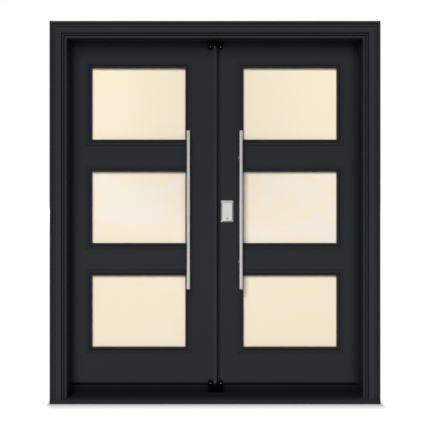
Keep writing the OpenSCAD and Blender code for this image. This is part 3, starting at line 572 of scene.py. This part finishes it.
def dressed(name, tree, tint, rough, height, **others):
    """A material that a node group gives its colour, its roughness and a bump of some height in metres."""
    made, shade, shader, bump = material(name)
    given = {"Colour": (*tint, 1.0), "Roughness": rough, **others}
    effect = shade.node("ShaderNodeGroup", given, node_tree=tree).outputs
    shade.feed(shader.inputs["Base Color"], effect["Colour"])
    shade.feed(shader.inputs["Roughness"], effect["Roughness"])
    shade.feed(bump.inputs["Height"], effect["Height"])
    bump.inputs["Distance"].default_value = height
    return made, shader


def coated(name, tree, tint, rough, mottling=0.10, unevenness=0.12, peel=0.00004, specular=0.10):
    """A sprayed or moulded dark surface."""
    made, shader = dressed(name, tree, tint, rough, peel, Mottling=mottling, Unevenness=unevenness)
    shader.inputs["Specular IOR Level"].default_value = specular
    return made


def sill_coating(tree, nose, deck):
    """The sill: a paler coating on the upright nose, which darkens over the deck behind it, partly as a
    darker deck coating and partly as painted shade under the leaves.
    """
    made = coated("sill coating", tree, deck, rough=0.5, specular=0.06)
    shade = Shade(made.node_tree)
    film = next(node for node in made.node_tree.nodes if node.type == "GROUP")
    front = corners("sill")[0][1]
    # Partly painted shade: the coating goes from the nose's colour to the deck's, deeper under the leaves
    behind = shade.ramp(shade.axes()["Y"], front, front + SILL_TONE_AND_SHADE_FADE)
    shade.feed(film.inputs["Colour"], shade.mix(behind, nose, deck))
    return made


def brushed(name, tree, tint, stretch, rough, depth=0.00002):
    """A brushed or plated metal."""
    made, shader = dressed(name, tree, tint, rough, depth, Stretch=stretch)
    shader.inputs["Metallic"].default_value = 1.0
    return made


def frosted_glass(warm, pale):
    """Frosted glass: warm cream with soft pale sweeps of painted reflection, which are strongest in the
    middle row.

    From the foot of the middle row upwards, it dims towards the leaf's meeting edge, as painted shade.
    """
    made, shade, shader, bump = material("frosted glass")
    where = shade.axes()
    low, high = corners("left_middle_glass")
    middle, half = 0.5 * (low[2] + high[2]), 0.5 * (high[2] - low[2])
    away = shade.math("ABSOLUTE", shade.math("SUBTRACT", where["Z"], middle))
    row = shade.ramp(away, ROW_FADE * half, half)
    depth = shade.math("MULTIPLY_ADD", row, REFLECTION_COVER_IN_ROW, REFLECTION_COVER)
    least_reflection = shade.math("MULTIPLY_ADD", row, LEAST_REFLECTION_IN_ROW, LEAST_REFLECTION)
    # Painted reflections: pale sweeps over the warm cream, strongest in the middle row
    reflection_sweep = shade.noise(shade.place(REFLECTION_STRETCH), scale=2.9, detail=1.5, distortion=1.5)
    cover = shade.math("MULTIPLY_ADD", shade.ramp(reflection_sweep, REFLECTION_LOW, REFLECTION_HIGH), depth, least_reflection)
    # Painted shade: the glass darkens towards the meeting edge, from the foot of the middle row upwards
    shade_inward = shade.ramp(shade.math("ABSOLUTE", where["X"]), abs(low[0]), abs(high[0]))
    shade_upward = shade.ramp(where["Z"], low[2], high[2])
    tone = shade.math("MULTIPLY_ADD", shade.math("MULTIPLY", shade_inward, shade_upward), -GLASS_PAINTED_SHADE, GLASS_TONE)
    shade.feed(shader.inputs["Base Color"], shade.toned(shade.mix(cover, warm, pale), tone))
    smudge = shade.noise(shade.place(), scale=60.0)
    rough = shade.math("MULTIPLY_ADD", smudge, GLASS_UNEVENNESS, GLASS_ROUGHNESS)
    shade.feed(shader.inputs["Roughness"], rough)
    shade.feed(bump.inputs["Height"], shade.noise(shade.place(), scale=900.0))
    bump.inputs["Distance"].default_value = GLASS_GRAIN
    shader.inputs["Specular IOR Level"].default_value = GLASS_SPECULAR
    return made


def foam_block(tint):
    """Rigid foam: a pale cellular block."""
    made, shade, shader, bump = material("foam block")
    cells = shade.node("ShaderNodeTexVoronoi", {"Vector": shade.place(), "Scale": 500.0}).outputs["Distance"]
    dark = tuple(CELL_TONE * part for part in tint)
    shade.feed(shader.inputs["Base Color"], shade.mix(shade.ramp(cells, CELL_LOW, CELL_HIGH), dark, tint))
    shade.feed(bump.inputs["Height"], cells)
    bump.inputs["Distance"].default_value = CELL_HEIGHT
    shader.inputs["Roughness"].default_value = FOAM_ROUGHNESS
    return made


# Carried-over pieces with one of these words in their name take this finish, and the others their slot's
# Lite frames and skins take darker copies of the paint, painted shade for their hollows and recess
FINISH_BY_WORD = {"lite_frame": "shaded_lite_paint", "skin": "shaded_leaf_paint"}


class DOOR_OT_finishes(bpy.types.Operator):
    """Builds the finishes and puts one on every carried-over piece"""

    bl_idname = "door.finishes"
    bl_label = "Finishes"

    def execute(self, context):
        finish = context.scene.door_finish
        film, lines = film_group(), brushed_group()
        MATERIALS.update({
            "charcoal_paint": coated("charcoal paint", film, finish.paint, rough=0.30, specular=0.20),
            # Painted shade: a slightly darker copy of the paint for the leaves' recess
            "shaded_leaf_paint": coated("leaf paint", film, finish.leaf, rough=0.25, specular=0.155),
            # Painted shade: a darker copy of the paint for the lite frames' hollows
            "shaded_lite_paint": coated("lite paint", film, finish.moulded, rough=0.40, specular=0.21),
            "edge_paint": coated("edge paint", film, finish.paint, rough=0.6, mottling=0.3, peel=0.0002),
            "sill_metal": sill_coating(film, finish.nose, finish.sill),
            "black_plastic": coated("black plastic", film, finish.plastic, rough=0.5, specular=0.008),
            "seal_rubber": coated("seal rubber", film, finish.rubber, rough=0.7, peel=0.0001, specular=0.03),
            # Painted shade: the dark strip that stands in for the rib's shadow
            "painted_shade_strip": coated("edge seal", film, finish.strip, rough=0.6, peel=0.0001, specular=0.05),
            "satin_steel": brushed("satin steel", lines, finish.steel, STEEL_LINES, rough=0.34),
            "lock_nickel": brushed("lock nickel", lines, finish.lock, NICKEL_LINES, rough=0.40),
            "zinc_steel": brushed("zinc steel", lines, finish.zinc, ZINC_GRAIN, rough=0.42),
            "frosted_glass": frosted_glass(finish.glass_warm, finish.glass_reflection),
            "foam": foam_block(finish.foam),
        })
        MATERIALS["timber"] = MATERIALS["edge_paint"]
        slots = {part["node"]: part["material_slot"] for part in frame["record"]["subparts"]}
        for node, piece in frame["nodes"].items():
            key = next((paint for word, paint in FINISH_BY_WORD.items() if word in node), slots[node])
            piece.data.materials.clear()
            piece.data.materials.append(MATERIALS[key])
        return {"FINISHED"}


# A pull's post: its cove in a share of the flange's width, and its taper in a share of what is left
COVE_SHARE = 0.6
TAPER_SHARE = 0.3


class DOOR_OT_pulls(bpy.types.Operator):
    """Turns the pull bars, posts and flanges with softened edges"""

    bl_idname = "door.pulls"
    bl_label = "Pulls"

    def execute(self, context):
        detail = context.scene.door_detail
        for side in SIDES:
            for place, out in (("outer", OUTSIDE), ("inner", INSIDE)):
                node = f"{side}_{place}_pull"
                make_piece(f"{node}_bar", self.pull(node, out, detail), f"{side}_leaf", "satin_steel", [node])
        return {"FINISHED"}

    def pull(self, node, out, detail):
        """A bar along Z, carried by two posts on the skin."""
        low, high = corners(node)
        middle = 0.5 * (low[0] + high[0])
        foot_y = high[1] if out[1] < 0 else low[1]
        bar_y = low[1] + detail.bar_radius if out[1] < 0 else high[1] - detail.bar_radius
        bar = self.bar(high[2] - low[2], detail)
        post = self.post(abs(foot_y - bar_y), out, detail)
        post_z = (low[2] + detail.post_inset, high[2] - detail.post_inset)
        return join([repeat(bar, [(middle, bar_y, low[2])]),
                     repeat(post, [(middle, foot_y, z) for z in post_z])])

    def bar(self, span, detail):
        """A straight profile with rounded ends and a narrow seam near each, turned round Z."""
        radius, edge = detail.bar_radius, detail.bar_edge
        seam, width = detail.seam_place, detail.seam_width
        dip = [radius, radius - 0.5 * edge, radius]
        step = width * np.array([0.0, 0.5, 1.0])
        ends = profile(arc((radius - edge, edge), edge, -90, 0),
                       (dip, seam + step),
                       (dip, span - seam - width + step),
                       arc((radius - edge, span - edge), edge, 0, 90))
        return turned(*ends, (0, 0, 1), detail.round_steps)

    def post(self, reach, out, detail):
        """A flange that coves into a slightly tapered post, turned round the way out of the skin."""
        slim, wide, thick = detail.post_radius, detail.flange_radius, detail.flange_height
        cove = COVE_SHARE * (wide - slim)
        taper = TAPER_SHARE * (wide - cove - slim)
        foot = profile(([wide], [0.0]), arc((wide, thick + cove), cove, 270, 180),
                       ([slim + taper, slim], [0.5 * reach, reach]))
        return turned(*foot, out, detail.round_steps)


# The lock case: shares of its slope that get an outline, and how its rounded edge drops and draws in
SLOPE_SHARES = np.array([0.08, 0.5, 0.9])
ROLL_STEPS = 5
ROLL_DROP = 0.3
ROLL_DRAW = 0.35


class DOOR_OT_lock_case(bpy.types.Operator):
    """Shapes the lock's case with round corners, soft slopes and the key plug's bore"""

    bl_idname = "door.lock_case"
    bl_label = "Lock case"

    def execute(self, context):
        make_piece("lock_case", self.case(context.scene.door_detail), "right_leaf", "satin_steel",
                   ["lock_outer_case"], finish="lock_nickel", sharp=25.0)
        return {"FINISHED"}

    def case(self, detail):
        """Rounded outlines that shrink along the slopes and roll over an edge to the face.

        There they draw in to a circle around the key plug, which goes down to the bore's end.
        """
        low, high = corners("lock_outer_case")
        plug_low, plug_high = corners("key_plug")
        thick = high[1] - low[1]
        shoulder = detail.case_shoulder
        roll = np.linspace(0.0, 1.0, ROLL_STEPS)
        climb = np.concatenate([[0.0, 0.5 * shoulder, shoulder - detail.case_edge, shoulder],
                                shoulder + (thick - shoulder) * SLOPE_SHARES,
                                thick - ROLL_DROP * detail.case_edge * (1.0 - roll) ** 2])
        share = np.clip((climb - shoulder) / (thick - shoulder), 0.0, 1.0)
        share[-ROLL_STEPS:] += ROLL_DRAW * roll
        side, top = detail.case_bevel * share, detail.case_top_bevel * share
        x, z = rounded_outline(0.5 * (high[0] - low[0]) - side, low[2] + side, high[2] - top,
                               detail.case_corner + 0.0 * side)
        outlines = np.stack([x + 0.5 * (low[0] + high[0]), high[1] - climb[:, None] + 0.0 * x, z], axis=-1)
        axis = 0.5 * (plug_low + plug_high)
        spoke = (outlines[-1] - axis) * [1.0, 0.0, 1.0]
        spoke /= np.linalg.norm(spoke, axis=1, keepdims=True)
        rim = axis + (detail.plug_radius + detail.plug_gap) * spoke
        bore = np.stack([rim, rim])
        bore[:, :, 1] = np.array([low[1], plug_high[1] + detail.plug_gap])[:, None]
        return loft(np.concatenate([outlines, bore]))


BULB_STEPS = 13


class DOOR_OT_meeting_seals(bpy.types.Operator):
    """Runs a bulb seal along the astragal's stem and a flat dark strip along the active leaf's edge, which
    paints the rib's shadow
    """

    bl_idname = "door.meeting_seals"
    bl_label = "Meeting seals"

    def execute(self, context):
        detail = context.scene.door_detail
        self.bulb_seal(detail)
        self.painted_shade_strip(detail)
        return {"FINISHED"}

    def bulb_seal(self, detail):
        """A half round section on a flat back, carried straight up, which swells to meet the active leaf."""
        low, high = corners("astragal_seal")
        turn = np.linspace(-0.5 * np.pi, 0.5 * np.pi, BULB_STEPS)
        x = low[0] + detail.bulb_reach * np.cos(turn)
        y = 0.5 * (low[1] + high[1]) + 0.5 * (high[1] - low[1]) * np.sin(turn)
        make_piece("bulb_seal", upright(x, y, low[2], high[2]), "left_leaf", "seal_rubber", ["astragal_seal"])

    def painted_shade_strip(self, detail):
        """A flat section, bevelled and sunk into the skin by half its height, and carried straight up: a dark
        strip that paints the rib's shadow.
        """
        edge, face = corners("right_outer_skin")[0][:2]
        near = edge + detail.strip_inset
        far = near + detail.strip_width
        height, half = detail.strip_height, 0.5 * detail.strip_height
        x = np.array([near, near, near + half, far - half, far, far])
        y = face + np.array([half, -half, -height, -height, -half, half])
        bottom = corners("sill_seal_block")[1][2] + detail.strip_end
        top = corners("head_seal_block")[0][2] - detail.strip_end
        make_piece("painted_shade_strip", upright(x, y, bottom, top), "right_leaf", "seal_rubber", finish="painted_shade_strip")


# Heights of a hinge's four screws about its middle, in shares of the hinge's height
HINGE_SPREAD = np.array([-0.36, -0.12, 0.12, 0.36])


class DOOR_OT_screws(bpy.types.Operator):
    """Adds the screws of the seal blocks, the hinges, the strike and the bolt's faceplate"""

    bl_idname = "door.screws"
    bl_label = "Screws"

    def execute(self, context):
        detail = context.scene.door_detail
        self.seal_block_screws(detail)
        for side in SIDES:
            self.hinge_screws(side, detail)
        self.plate_screws("strike_screws", "deadbolt_strike", (1, 0, 0), "left_leaf", detail)
        self.plate_screws("faceplate_screws", "deadbolt_tube", (-1, 0, 0), "right_leaf", detail)
        return {"FINISHED"}

    def seal_block_screws(self, detail):
        """Two domed heads on the front of each seal block, and one on each end of the rib between them."""
        low, high = corners("seal_block_screws")
        radius = detail.screw_radius
        head = screw_head(radius, detail.screw_dome, OUTSIDE)
        seat = low[1] + detail.screw_stand
        across = (low[0] + radius, high[0] - radius)
        up = (low[2] + radius, high[2] - radius)
        make_piece("seal_block_screw_heads", repeat(head, [(x, seat, z) for z in up for x in across]),
                   "frame", "zinc_steel", ["seal_block_screws"])
        rib_low, rib_high = corners("astragal")
        middle = rib_high[0] - 0.5 * detail.rib_width
        rib_spots = [(middle, rib_low[1], z + detail.rib_screw_rise) for z in up]
        make_piece("rib_screw_heads", repeat(head, rib_spots), "left_leaf", "zinc_steel")

    def hinge_screws(self, side, detail):
        """Four flat heads in a zigzag on each hinge leaf, on the jamb and on the door."""
        leaf_low, leaf_high = corners(f"{side}_outer_skin")
        _, inner = corners(f"{side}_inner_skin")
        sign = 1.0 if side == "right" else -1.0
        edge = max(abs(leaf_low[0]), abs(leaf_high[0]))
        lowest, highest = leaf_low[2] + detail.hinge_from_bottom, leaf_high[2] - detail.hinge_from_top
        heights = (lowest, 0.5 * (lowest + highest), highest)
        spread = detail.hinge_height * HINGE_SPREAD
        depth = inner[1] - np.array([detail.hinge_row_near, detail.hinge_row_far] * 2)
        rabbet = max(abs(corners("threshold_cap")[0][0]), edge)
        for name, x, out, body in ((f"{side}_hinge_screws", edge, sign, f"{side}_leaf"),
                                   (f"{side}_jamb_hinge_screws", rabbet, -sign, "frame")):
            head = screw_head(detail.hinge_screw_radius, detail.flat_dome, (out, 0, 0), detail.head_steps)
            spots = [(sign * x, y, z + dz) for z in heights for y, dz in zip(depth, spread)]
            make_piece(name, repeat(head, spots), body, "zinc_steel")

    def plate_screws(self, name, node, axis, body, detail):
        """Two flat heads, above and below the bolt."""
        low, high = corners(node)
        face = high[0] if axis[0] > 0 else low[0]
        head = screw_head(detail.plate_screw_radius, detail.flat_dome, axis, detail.head_steps)
        middle = 0.5 * (low[1] + high[1])
        up = (low[2] + detail.plate_screw_inset, high[2] - detail.plate_screw_inset)
        make_piece(name, repeat(head, [(face, middle, z) for z in up]), body, "satin_steel")


# A gasket's bead: its points, and the power of the sine that makes it fuller than a half circle
BEAD_STEPS = 7
BEAD_POWER = 0.5

# Screw covers: how many lie along a lite frame's rails and stiles, and the angle at which their dome ends
COVERS_ACROSS = 4
COVERS_UP = 3
COVER_TOP = 88


class DOOR_OT_glazing(bpy.types.Operator):
    """Adds the gaskets around the glass and the screw covers on the inner lite frames"""

    bl_idname = "door.glazing"
    bl_label = "Glazing"

    def execute(self, context):
        detail = context.scene.door_detail
        for side in SIDES:
            panes = [corners(f"{side}_{row}_glass") for row in ROWS]
            frames = [corners(f"{side}_{row}_lite_frame") for row in ROWS]
            self.gaskets(side, panes, frames, detail)
            self.covers(side, frames, detail)
        return {"FINISHED"}

    def sight(self, frame_box, detail):
        """The rectangle of glass that shows inside a lite frame."""
        low, high = frame_box
        rim = detail.lite_width * np.array([1.0, 0.0, 1.0])
        return low + rim, high - rim

    def gaskets(self, side, panes, frames, detail):
        """A full bead along the glass's edge, inside and outside."""
        bend = np.linspace(0.0, np.pi, BEAD_STEPS)
        offsets = detail.gasket_lap - 0.5 * detail.gasket_width * (1.0 - np.cos(bend))
        depths = detail.gasket_height * np.sin(bend) ** BEAD_POWER
        skins = []
        for (glass_low, glass_high), frame_box in zip(panes, frames):
            low, high = self.sight(frame_box, detail)
            for y, facing in ((glass_low[1], -1.0), (glass_high[1], 1.0)):
                low[1] = y
                skins.append(rectangle_hoop(low, high, offsets, depths, facing))
        make_piece(f"{side}_gaskets", join(skins), f"{side}_leaf", "seal_rubber")

    def covers(self, side, frames, detail):
        """Small domed covers over the screws of the inner lite frames, evenly spaced along each side."""
        seat = corners(f"{side}_inner_skin")[1][1] + detail.flange_proud
        radius, dome, row = detail.cover_radius, detail.cover_dome, detail.cover_row
        rim = math.acos(radius / dome)
        shell = arc((0.0, -dome * math.sin(rim)), dome, math.degrees(rim), COVER_TOP)
        cap = turned(*profile(([radius], [-detail.cover_sunk]), shell), INSIDE, detail.head_steps)
        spots = []
        for frame_box in frames:
            low, high = self.sight(frame_box, detail)
            across = np.linspace(low[0] + detail.cover_side, high[0] - detail.cover_side, COVERS_ACROSS)
            up = np.linspace(low[2] + detail.cover_end, high[2] - detail.cover_end, COVERS_UP)
            spots += [(x, seat, z) for x in across for z in (low[2] - row, high[2] + row)]
            spots += [(x, seat, z) for z in up for x in (low[0] - row, high[0] + row)]
        make_piece(f"{side}_screw_covers", repeat(cap, spots), f"{side}_leaf", "charcoal_paint")


# Width of the camera's sensor in millimetres
SENSOR_WIDTH = 36.0
WHITE = (1.0, 1.0, 1.0, 1.0)


class DOOR_OT_stage(bpy.types.Operator):
    """Sets up the floor, the light and the camera"""

    bl_idname = "door.stage"
    bl_label = "Stage"

    def execute(self, context):
        stage = context.scene.door_stage
        context.scene.view_settings.view_transform = "Standard"
        self.world(context.scene, stage)
        self.floor(stage)
        self.soft_box("key", stage.key_power, stage.key_turn, stage.key_rise, stage)
        self.soft_box("fill", stage.fill_power, stage.fill_turn, stage.fill_rise, stage)
        self.soft_box("back", stage.back_power, stage.back_turn, stage.back_rise, stage)
        self.camera(context.scene, stage)
        return {"FINISHED"}

    def world(self, scene, stage):
        """White where it is seen, and a softer light otherwise."""
        scene.world = bpy.data.worlds.new("studio")
        scene.world.use_nodes = True
        scene.world.node_tree.nodes.clear()
        shade = Shade(scene.world.node_tree)
        strength = shade.math("MULTIPLY_ADD", self.seen(shade), 1.0 - stage.ambient, stage.ambient)
        light = shade.node("ShaderNodeBackground", {"Color": WHITE, "Strength": strength})
        shade.node("ShaderNodeOutputWorld", {"Surface": light.outputs[0]})

    def floor(self, stage):
        """A wide white floor, with a soft contact shadow around the foot of the frame."""
        reach, tone = stage.floor_reach, stage.floor_tone
        mesh = bpy.data.meshes.new("floor")
        mesh.from_pydata([(-reach, -reach, 0), (reach, -reach, 0), (reach, reach, 0), (-reach, reach, 0)], [],
                         [(0, 1, 2, 3)])
        made = bpy.data.materials.new("white floor")
        made.use_nodes = True
        made.node_tree.nodes.clear()
        shade = Shade(made.node_tree)
        light = shade.math("MULTIPLY", self.contact_shadow(shade, stage),
                           shade.math("MULTIPLY", self.seen(shade), stage.floor_glow))
        matt = shade.node("ShaderNodeBsdfDiffuse", {"Color": (tone, tone, tone, 1.0)})
        glow = shade.node("ShaderNodeEmission", {"Color": WHITE, "Strength": light})
        both = shade.node("ShaderNodeAddShader", {0: matt.outputs[0], 1: glow.outputs[0]})
        shade.node("ShaderNodeOutputMaterial", {"Surface": both.outputs[0]})
        mesh.materials.append(made)
        floor = bpy.data.objects.new("floor", mesh)
        bpy.context.scene.collection.objects.link(floor)

    def contact_shadow(self, shade, stage):
        """One away from the sill, and darker the nearer the floor is to its front or its back."""
        low, high = corners("sill")
        where = shade.axes()
        beside = shade.math("SUBTRACT", shade.math("ABSOLUTE", where["X"]), high[0])
        before = shade.math("MAXIMUM", shade.math("SUBTRACT", low[1], where["Y"]),
                            shade.math("SUBTRACT", where["Y"], high[1]))
        near = shade.math("SUBTRACT", 1.0, shade.math("DIVIDE", before, stage.shadow_reach), clamp=True)
        shadow = shade.math("MULTIPLY", shade.math("POWER", near, stage.shadow_fade),
                            shade.ramp(beside, stage.shadow_side, 0.0))
        return shade.math("MULTIPLY_ADD", shadow, -stage.shadow_depth, 1.0)

    def seen(self, shade):
        """One where a ray comes from the camera, directly or in glass and metal, and nought otherwise."""
        path = shade.node("ShaderNodeLightPath").outputs
        return shade.math("MAXIMUM", shade.math("MAXIMUM", path["Is Camera Ray"], path["Is Glossy Ray"]),
                          path["Is Transmission Ray"])

    def soft_box(self, name, power, turn, rise, stage):
        """A square area light aimed at the door's middle, which gloss doesn't show."""
        lamp = bpy.data.lights.new(name, "AREA")
        lamp.energy = power
        lamp.size = stage.box_size
        light = bpy.data.objects.new(name, lamp)
        light.visible_glossy = False
        flat = math.cos(rise)
        away = Vector((-math.sin(turn) * flat, -math.cos(turn) * flat, math.sin(rise)))
        light.location = Vector((0.0, 0.0, 0.5 * CAD_BOX[1][2])) + stage.box_distance * away
        light.rotation_mode = "QUATERNION"
        light.rotation_quaternion = away.to_track_quat("Z", "Y")
        bpy.context.scene.collection.objects.link(light)

    def camera(self, scene, stage):
        """A level camera square to the door, with a shifted lens."""
        lens = bpy.data.cameras.new("camera")
        lens.sensor_width = SENSOR_WIDTH
        lens.lens = stage.lens
        lens.shift_x = stage.shift_x
        lens.shift_y = stage.shift_y
        camera = bpy.data.objects.new("camera", lens)
        front = CAD_BOX[0][1]
        camera.location = (-stage.camera_side, front - stage.camera_distance, stage.camera_height)
        camera.rotation_euler = (math.radians(90.0), 0.0, 0.0)
        scene.collection.objects.link(camera)
        scene.camera = camera


OPERATORS = (DOOR_OT_finishes, DOOR_OT_pulls, DOOR_OT_lock_case, DOOR_OT_meeting_seals, DOOR_OT_screws,
             DOOR_OT_glazing, DOOR_OT_stage)
SETTINGS = {"door_finish": DoorFinish, "door_detail": DoorDetail, "door_stage": DoorStage}


class DOOR_PT_panel(bpy.types.Panel):
    """Lists the door's operators"""

    bl_idname = "DOOR_PT_panel"
    bl_label = "Door"
    bl_space_type = "VIEW_3D"
    bl_region_type = "UI"
    bl_category = "Door"

    def draw(self, context):
        for operator in OPERATORS:
            self.layout.operator(operator.bl_idname)


def register():
    """Registers the classes and hangs the settings on the scene."""
    for kind in (*SETTINGS.values(), *OPERATORS, DOOR_PT_panel):
        bpy.utils.register_class(kind)
    for name, kind in SETTINGS.items():
        setattr(bpy.types.Scene, name, PointerProperty(type=kind))


def unregister():
    """Takes the settings and the classes away again."""
    for name in SETTINGS:
        delattr(bpy.types.Scene, name)
    for kind in reversed((*SETTINGS.values(), *OPERATORS, DOOR_PT_panel)):
        bpy.utils.unregister_class(kind)


def main():
    """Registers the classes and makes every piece."""
    register()
    for operator in OPERATORS:
        family, name = operator.bl_idname.split(".")
        getattr(getattr(bpy.ops, family), name)()


if __name__ == "__main__":
    main()
